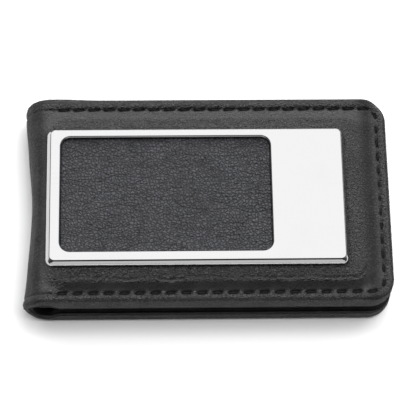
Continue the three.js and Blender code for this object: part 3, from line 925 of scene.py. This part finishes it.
class ClipSizes(bpy.types.PropertyGroup):
    """Sizes of the leatherwork and the plate."""

    cover_thickness: length("Outer Leather", 1.1, "Thickness of the outer leather")
    lining_thickness: length("Lining", 0.9, "Thickness of the inner leather")
    shoulder: length("Panel Shoulder", 2.9, "Width of the slope from the panel to its border")
    fold_waist: length("Fold Waist", 1.45, "How far the fold draws in at the middle of its width")
    fold_tuck: length("Fold Tuck", 0.5, "How far the front end of the fold is tucked in")
    stitch_pitch: length("Stitch Pitch", 3.14, "Distance from one stitch to the next")
    stitch_length: length("Stitch Length", 1.9, "Length of thread seen in one stitch")
    thread_width: length("Thread Width", 0.55, "Width of the stitching thread")
    plate_bevel: length("Plate Bevel", 0.4, "Width of the bevel round the top of the plate")
    pad_crown: length("Pad Crown", 0.12, "How much higher a foam pad is in its middle")
    inlay_crown: length("Inlay Crown", 0.08, "How much higher the inlay is in its middle")
    inlay_spread: length("Inlay Spread", 0.18, "How far the inlay spreads to the window's wall")
    variation: IntProperty(name="Variation", description="Number that picks the wrinkles",
                           default=11, min=0)


class ClipFinishes(bpy.types.PropertyGroup):
    """Colours and gloss of every material."""

    cover: colour("Outer Leather", (0.0095, 0.0095, 0.012), "Colour of the outer leather")
    lining: colour("Lining", (0.011, 0.011, 0.012), "Colour of the inner leather")
    inlay: colour("Inlay", (0.15, 0.155, 0.175), "Colour of the leather inlay")
    plate: colour("Plate", (0.5, 0.5, 0.505), "Colour of the polished plate")
    thread: colour("Thread", (0.006, 0.006, 0.0065), "Colour of the waxed thread")
    board: colour("Board", (0.12, 0.085, 0.055), "Colour of the fibre board")
    foam: colour("Foam", (0.06, 0.06, 0.065), "Colour of the foam pads")
    magnet: colour("Magnet", (0.62, 0.62, 0.63), "Colour of the nickel on the magnets")
    push_nut: colour("Push Nut", (0.5, 0.5, 0.52), "Colour of the spring steel")
    cover_dullness: share("Outer Leather Roughness", 0.25, "How matt the outer leather is")
    inlay_dullness: share("Inlay Roughness", 0.4, "How matt the inlay is")
    plate_roughness: share("Plate Roughness", 0.05, "How blurred reflections in the plate are")


class ClipStage(bpy.types.PropertyGroup):
    """The view and the light."""

    distance: length("Camera Distance", 414.8, "From the camera to the middle of the clip")
    elevation: angle("Camera Elevation", 66.35, "Angle of the view above level")
    heading: angle("Camera Heading", -4.03, "Turn of the view round the clip")
    roll: angle("Camera Roll", 3.3, "Turn of the picture about its middle")
    lens: amount("Lens", 173.33, "Focal length in millimetres on a 36 mm sensor", low=1.0)
    aim: FloatVectorProperty(name="Aim", description="Point at the middle of the picture", size=3,
                             default=(0.00031, 0.0002, 0.0055), subtype="XYZ", unit="LENGTH")
    floor: colour("Floor", (0.93, 0.93, 0.93), "Colour of the table that the clip lies on")
    softbox: amount("Softboxes", 1.5, "Brightness of the softboxes")
    table_light: amount("Table Light", 5.2, "Brightness of the light on the table")
    room: amount("Room", 0.3, "Brightness of the room")


# ---- Operators ----
def settings_of(context):
    """The sizes and the finishes that are set in the panel."""
    return context.scene.moneyclip_sizes, context.scene.moneyclip_finishes


class MONEYCLIP_OT_covers(bpy.types.Operator):
    """Make the outer leather of both jaws, each with its half of the fold."""

    bl_idname = "moneyclip.covers"
    bl_label = "Outer Leather"

    def execute(self, context):
        sizes, finishes = settings_of(context)
        material = leather("Outer leather", finishes.cover, darker(finishes.cover, 0.35),
                           per_mm=1.5, relief=0.13, dullness=finishes.cover_dullness, creases=0.22,
                           specular_ior_level=0.95)
        for upper in (False, True):
            jaw = "upper" if upper else "lower"
            seed = sizes.variation + 20 * upper
            points, faces, flat, extra = cover_sheet(upper, sizes, seed)
            piece = make_piece(f"{jaw}_cover_leather", points, faces, material, flat, **extra)
            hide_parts(f"{jaw}_cover", "spine_cover")
            bend_with_fold(piece, upper)
        return {"FINISHED"}


def bend_with_fold(piece, upper):
    """Bake a leather sheet's placement into its mesh, the same way for either jaw. Nothing is
    set up here to bend the sheet about the fold."""
    if upper:
        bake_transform(piece)
    else:
        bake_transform(piece)


class MONEYCLIP_OT_linings(bpy.types.Operator):
    """Make the inner leather of both jaws, each with its half of the fold."""

    bl_idname = "moneyclip.linings"
    bl_label = "Linings"

    def execute(self, context):
        sizes, finishes = settings_of(context)
        material = leather("Lining leather", finishes.lining, darker(finishes.lining, 0.4),
                           per_mm=3.4, relief=0.03, dullness=0.5, creases=0.2)
        for upper in (False, True):
            jaw = "upper" if upper else "lower"
            seed = sizes.variation + 7 + 20 * upper
            points, faces, flat, extra = lining_sheet(upper, sizes, seed)
            piece = make_piece(f"{jaw}_lining_leather", points, faces, material, flat, **extra)
            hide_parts(f"{jaw}_lining", "spine_lining")
            bend_with_fold(piece, upper)
        return {"FINISHED"}


class MONEYCLIP_OT_threads(bpy.types.Operator):
    """Make the stitching: a seam on the outside and one on the inside of each jaw."""

    bl_idname = "moneyclip.threads"
    bl_label = "Stitching"

    def execute(self, context):
        sizes, finishes = settings_of(context)
        material = speckled("Waxed thread", finishes.thread, darker(finishes.thread, 0.4),
                            scale=2.5, relief=0.03, place="strand")
        throat = BOARD_IN - GLUE - sizes.lining_thickness / MM
        for jaw, way in (("lower", -1), ("upper", 1)):
            for side, out, up in (("outer", FOLD_RADIUS - OUTER_THREAD_SUNK, way),
                                  ("inner", throat + INNER_THREAD_SUNK, -way)):
                points, faces, strand = thread_stitches(
                    MIDDLE_Z + way * out, up, sizes, sizes.variation + len(side) + way)
                piece = make_piece(f"{jaw}_{side}_stitches", points, faces, material, strand=strand)
                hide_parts(f"{jaw}_{side}_thread")
                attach(piece, f"{jaw}_jaw")
        return {"FINISHED"}


class MONEYCLIP_OT_plate(bpy.types.Operator):
    """Make the polished plate with its window, and the studs under it."""

    bl_idname = "moneyclip.plate"
    bl_label = "Plate"

    def execute(self, context):
        sizes, finishes = settings_of(context)
        material = metal("Polished plate", finishes.plate, finishes.plate_roughness, smears=0.5,
                         scratches=0.3, relief=0.002)
        points, faces = loft(plate_loops(sizes))
        for x, y in STUDS:
            more, more_faces = loft(stud(x, y, PLATE_LOW[2], PLATE_BOTTOM + 0.1))
            faces = np.concatenate([faces, facing_out(more, more_faces) + len(points)])
            points = np.concatenate([points, more])
        piece = make_piece("polished_plate", points, faces, material)
        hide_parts("plate_frame")
        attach(piece, "upper_jaw")
        return {"FINISHED"}


class MONEYCLIP_OT_inlay(bpy.types.Operator):
    """Make the leather inlay that lies in the plate's window."""

    bl_idname = "moneyclip.inlay"
    bl_label = "Inlay"

    def execute(self, context):
        sizes, finishes = settings_of(context)
        material = leather("Inlay leather", finishes.inlay, darker(finishes.inlay, 0.22),
                           per_mm=1.5, relief=0.42, dullness=finishes.inlay_dullness, creases=0.6,
                           specular_ior_level=0.95)
        spread = np.array([sizes.inlay_spread / MM] * 2 + [0])
        points, faces, flat, x, y = pad_block(
            INLAY_LOW - spread, INLAY_HIGH + spread, WINDOW_CORNER - WINDOW_GAP, roll=0.2,
            crown=sizes.inlay_crown / MM, step=0.4, top=True, seed=sizes.variation + 3)
        rest = np.stack([x, y, 0 * x + GRAIN_HEIGHT["inlay"]], -1).reshape(-1, 3)
        none = np.zeros(2 * x.size)
        rest = np.concatenate([rest, rest - [0, 0, 5]])
        piece = make_piece("inlay_leather", points, faces, material, flat, rest=rest, rub=none,
                           sunk=none, taut=none)
        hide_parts("plate_inlay")
        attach(piece, "upper_jaw")
        return {"FINISHED"}


class MONEYCLIP_OT_pads(bpy.types.Operator):
    """Make the foam pad under the outer leather of each jaw."""

    bl_idname = "moneyclip.pads"
    bl_label = "Foam Pads"

    def execute(self, context):
        sizes, finishes = settings_of(context)
        material = speckled("Foam sheet", finishes.foam, darker(finishes.foam, 0.4),
                            scale=3200.0, relief=0.05)
        for jaw in ("lower", "upper"):
            low, high = node_box(f"{jaw}_foam_pad")
            points, faces, flat, _, _ = pad_block(
                low, high, corner=2.0, roll=0.15, crown=sizes.pad_crown / MM, step=0.9,
                top=jaw == "upper", seed=sizes.variation + 5, dish=0.3)
            piece = make_piece(f"{jaw}_foam", points, faces, material, flat)
            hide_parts(f"{jaw}_foam_pad")
            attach(piece, f"{jaw}_jaw")
        return {"FINISHED"}


class MONEYCLIP_OT_inner_parts(bpy.types.Operator):
    """Give the boards, the magnets and the push nuts their finishes."""

    bl_idname = "moneyclip.inner_parts"
    bl_label = "Inner Parts"

    def execute(self, context):
        finishes = context.scene.moneyclip_finishes
        board = speckled("Fibre board", finishes.board, darker(finishes.board, 0.5),
                         scale=1400.0, relief=0.04)
        nickel = metal("Nickel plate", finishes.magnet, 0.22, smears=0.8, scratches=1.0,
                       relief=0.003)
        steel = metal("Spring steel", finishes.push_nut, 0.34, smears=0.8, scratches=1.0,
                      relief=0.004)
        made_of = {"core_board": board, "magnet": nickel, "push_nut": steel}
        for name, node in frame["nodes"].items():
            for part, material in made_of.items():
                if part in name:
                    refinish(node, material)
        return {"FINISHED"}


def refinish(node, material):
    """Give a CAD node a material, in the slots that it has."""
    if not node.material_slots:
        node.data.materials.append(material)
    for holder in node.material_slots:
        holder.material = material


class MONEYCLIP_OT_stage(bpy.types.Operator):
    """Make the table, the light and the camera."""

    bl_idname = "moneyclip.stage"
    bl_label = "Stage"

    def execute(self, context):
        stage = context.scene.moneyclip_stage
        make_light(stage, make_floor(stage))
        make_camera(stage)
        context.scene.view_settings.view_transform = "Standard"
        return {"FINISHED"}


def make_floor(stage):
    """A flat table top of 3 by 3 metres under the clip."""
    material, tree, principled = start_material("Table", roughness=0.7)
    place = add(tree, "ShaderNodeTexCoord").outputs["Object"]
    tone = remap(tree, noise(tree, place, 3.0, 2.0), 0.3, 0.7, 0.985, 1.0)
    tree.links.new(tinted(tree, (*stage.floor, 1), tone), principled.inputs["Base Color"])
    mesh = bpy.data.meshes.new("table")
    reach = 1.5
    corners = [(-reach, -reach, 0), (reach, -reach, 0), (reach, reach, 0), (-reach, reach, 0)]
    mesh.from_pydata(corners, [], [(0, 1, 2, 3)])
    mesh.materials.append(material)
    table = bpy.data.objects.new("table", mesh)
    bpy.context.scene.collection.objects.link(table)
    return table


def make_area(name, brightness, size, place, aim=(0, 0, 0)):
    """A soft light of width by height metres at a place, facing the aim. Its power is brightness
    times pi times its area."""
    data = bpy.data.lights.new(name, "AREA")
    data.shape, data.size, data.size_y = "RECTANGLE", *size
    data.energy = brightness * math.pi * size[0] * size[1]
    light = bpy.data.objects.new(name, data)
    light.matrix_world = Matrix.Translation(place) @ (
        (Vector(place) - Vector(aim)).to_track_quat("Z", "Y").to_matrix().to_4x4())
    bpy.context.scene.collection.objects.link(light)
    return light


def make_light(stage, table):
    """A big softbox behind the clip and over it, low cards at the right and in front, a room that
    is darkest in front, and a light overhead that falls on the table alone and keeps it white."""
    bright = stage.softbox
    make_area("back softbox", bright, (3.0, 1.55), (0.0, 0.82, 0.84))
    make_area("right card", bright * 0.12, (0.9, 0.35), (0.9, 0.1, 0.45))
    make_area("front card", bright * 0.62, (1.6, 0.16), (0.0, -0.9, 0.1))
    overhead = make_area("table light", stage.table_light, (0.62, 0.62), (0.2, 0.02, 0.8))
    lit = bpy.data.collections.new("lit by the table light")
    lit.objects.link(table)
    overhead.light_linking.receiver_collection = lit
    world = bpy.context.scene.world or bpy.data.worlds.new("room")
    bpy.context.scene.world = world
    world.use_nodes = True
    tree = world.node_tree
    toward = add(tree, "ShaderNodeTexCoord").outputs["Generated"]
    depth = add(tree, "ShaderNodeSeparateXYZ", {0: toward}).outputs[1]
    ground = tree.nodes["Background"]
    ground.inputs["Color"].default_value = (1, 1, 1, 1)
    tree.links.new(remap(tree, depth, -0.8, 0.3, stage.room * 0.15, stage.room),
                   ground.inputs["Strength"])


def make_camera(stage):
    """The camera looks at its aim from a distance along a direction given by heading and elevation,
    and is rolled about its own line of sight."""
    flat = math.cos(stage.elevation)
    back = Vector((math.sin(stage.heading) * flat, -math.cos(stage.heading) * flat,
                   math.sin(stage.elevation)))
    right = Vector((math.cos(stage.heading), math.sin(stage.heading), 0))
    up = back.cross(right)
    turned = math.cos(stage.roll) * right + math.sin(stage.roll) * up
    data = bpy.data.cameras.new("camera")
    data.lens, data.sensor_width = stage.lens, 36.0
    data.clip_start, data.clip_end = 0.01, 10.0
    camera = bpy.data.objects.new("camera", data)
    axes = Matrix((turned, back.cross(turned), back)).transposed()
    place = Vector(stage.aim) + back * stage.distance
    camera.matrix_world = Matrix.Translation(place) @ axes.to_4x4()
    bpy.context.scene.collection.objects.link(camera)
    bpy.context.scene.camera = camera


class MONEYCLIP_PT_panel(bpy.types.Panel):
    """The sidebar panel with every size, colour and building step."""

    bl_idname = "MONEYCLIP_PT_panel"
    bl_label = "Money Clip"
    bl_space_type = "VIEW_3D"
    bl_region_type = "UI"
    bl_category = "Money Clip"

    def draw(self, context):
        scene = context.scene
        for name in GROUPS:
            group, title = getattr(scene, name), name.removeprefix("moneyclip_").title()
            box = self.layout.box()
            box.label(text=title)
            for key in group.__annotations__:
                box.prop(group, key)
        for operator in OPERATORS:
            self.layout.operator(operator.bl_idname)


OPERATORS = (
    MONEYCLIP_OT_stage, MONEYCLIP_OT_covers, MONEYCLIP_OT_linings, MONEYCLIP_OT_threads,
    MONEYCLIP_OT_pads, MONEYCLIP_OT_inner_parts, MONEYCLIP_OT_plate, MONEYCLIP_OT_inlay,
)
GROUPS = {
    "moneyclip_sizes": ClipSizes, "moneyclip_finishes": ClipFinishes, "moneyclip_stage": ClipStage,
}


def register():
    """Add the settings, the operators and the panel to Blender."""
    for item in (*GROUPS.values(), *OPERATORS, MONEYCLIP_PT_panel):
        bpy.utils.register_class(item)
    for name, group in GROUPS.items():
        setattr(bpy.types.Scene, name, PointerProperty(type=group))


def unregister():
    """Take them away again."""
    for name in GROUPS:
        delattr(bpy.types.Scene, name)
    for item in reversed((*GROUPS.values(), *OPERATORS, MONEYCLIP_PT_panel)):
        bpy.utils.unregister_class(item)


def main():
    """Register the add-on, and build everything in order."""
    register()
    bpy.ops.moneyclip.stage()
    bpy.ops.moneyclip.covers()
    bpy.ops.moneyclip.linings()
    bpy.ops.moneyclip.threads()
    bpy.ops.moneyclip.pads()
    bpy.ops.moneyclip.inner_parts()
    bpy.ops.moneyclip.plate()
    bpy.ops.moneyclip.inlay()
    bpy.context.view_layer.update()


if __name__ == "__main__":
    main()
